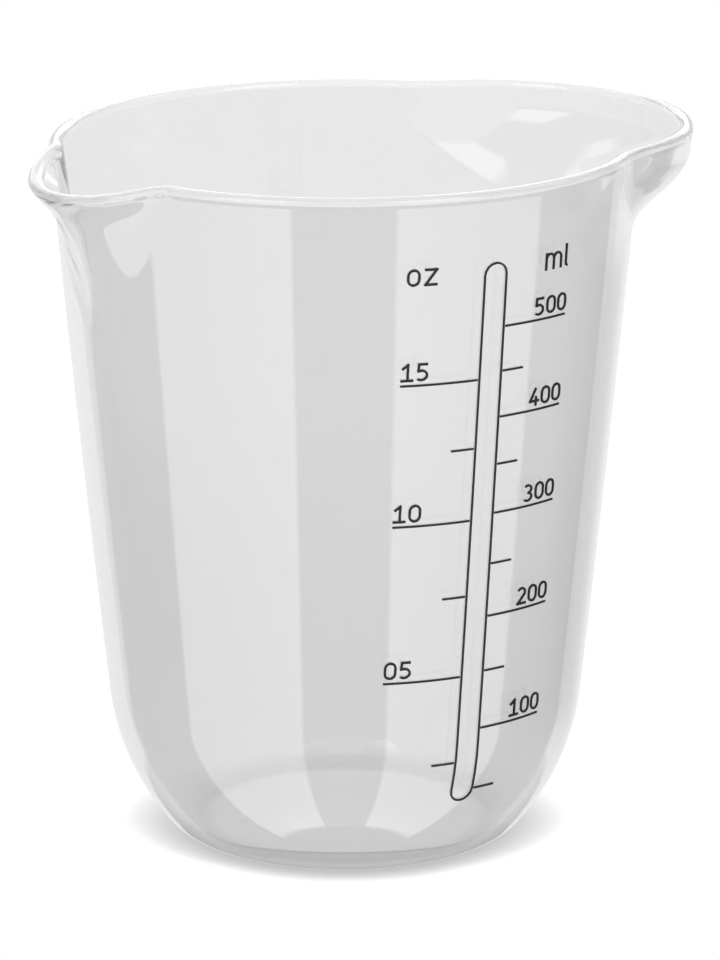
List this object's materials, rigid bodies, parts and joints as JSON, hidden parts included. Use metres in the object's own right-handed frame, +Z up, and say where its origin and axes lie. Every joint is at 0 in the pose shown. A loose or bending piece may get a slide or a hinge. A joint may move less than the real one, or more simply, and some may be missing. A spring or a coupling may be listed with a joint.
{
  "type": "measuring cup",
  "caption": "Clear plastic measuring cup with a rounded bottom, a pouring spout, a hollow thumb grip opposite and a printed scale in millilitres and ounces.",
  "frame": {"origin": "centre of the flat base, on the cup's axis, at table level", "axes": "+Z up along the cup's axis, +X towards the thumb grip, -X towards the spout, the printed scale faces -Y"},
  "size_m": [0.1212, 0.1004, 0.1223],
  "materials": {
    "clear_plastic": "polished",
    "scale_ink": "matte"
  },
  "bodies": {
    "root": {"cup_body": "clear_plastic", "ml_line_50": "scale_ink", "ml_line_100": "scale_ink", "ml_100_digit_1": "scale_ink", "ml_100_digit_2": "scale_ink", "ml_100_digit_3": "scale_ink", "ml_line_150": "scale_ink", "ml_line_200": "scale_ink", "ml_200_digit_1": "scale_ink", "ml_200_digit_2": "scale_ink", "ml_200_digit_3": "scale_ink", "ml_line_250": "scale_ink", "ml_line_300": "scale_ink", "ml_300_digit_1": "scale_ink", "ml_300_digit_2": "scale_ink", "ml_300_digit_3": "scale_ink", "ml_line_350": "scale_ink", "ml_line_400": "scale_ink", "ml_400_digit_1": "scale_ink", "ml_400_digit_2": "scale_ink", "ml_400_digit_3": "scale_ink", "ml_line_450": "scale_ink", "ml_line_500": "scale_ink", "ml_500_digit_1": "scale_ink", "ml_500_digit_2": "scale_ink", "ml_500_digit_3": "scale_ink", "oz_line_2_5": "scale_ink", "oz_line_5": "scale_ink", "oz_05_digit_1": "scale_ink", "oz_05_digit_2": "scale_ink", "oz_line_7_5": "scale_ink", "oz_line_10": "scale_ink", "oz_10_digit_1": "scale_ink", "oz_10_digit_2": "scale_ink", "oz_line_12_5": "scale_ink", "oz_line_15": "scale_ink", "oz_15_digit_1": "scale_ink", "oz_15_digit_2": "scale_ink", "scale_column": "scale_ink", "unit_letter_o": "scale_ink", "unit_letter_z": "scale_ink", "unit_letter_m": "scale_ink", "unit_letter_l": "scale_ink"}
  },
  "joints": []
}
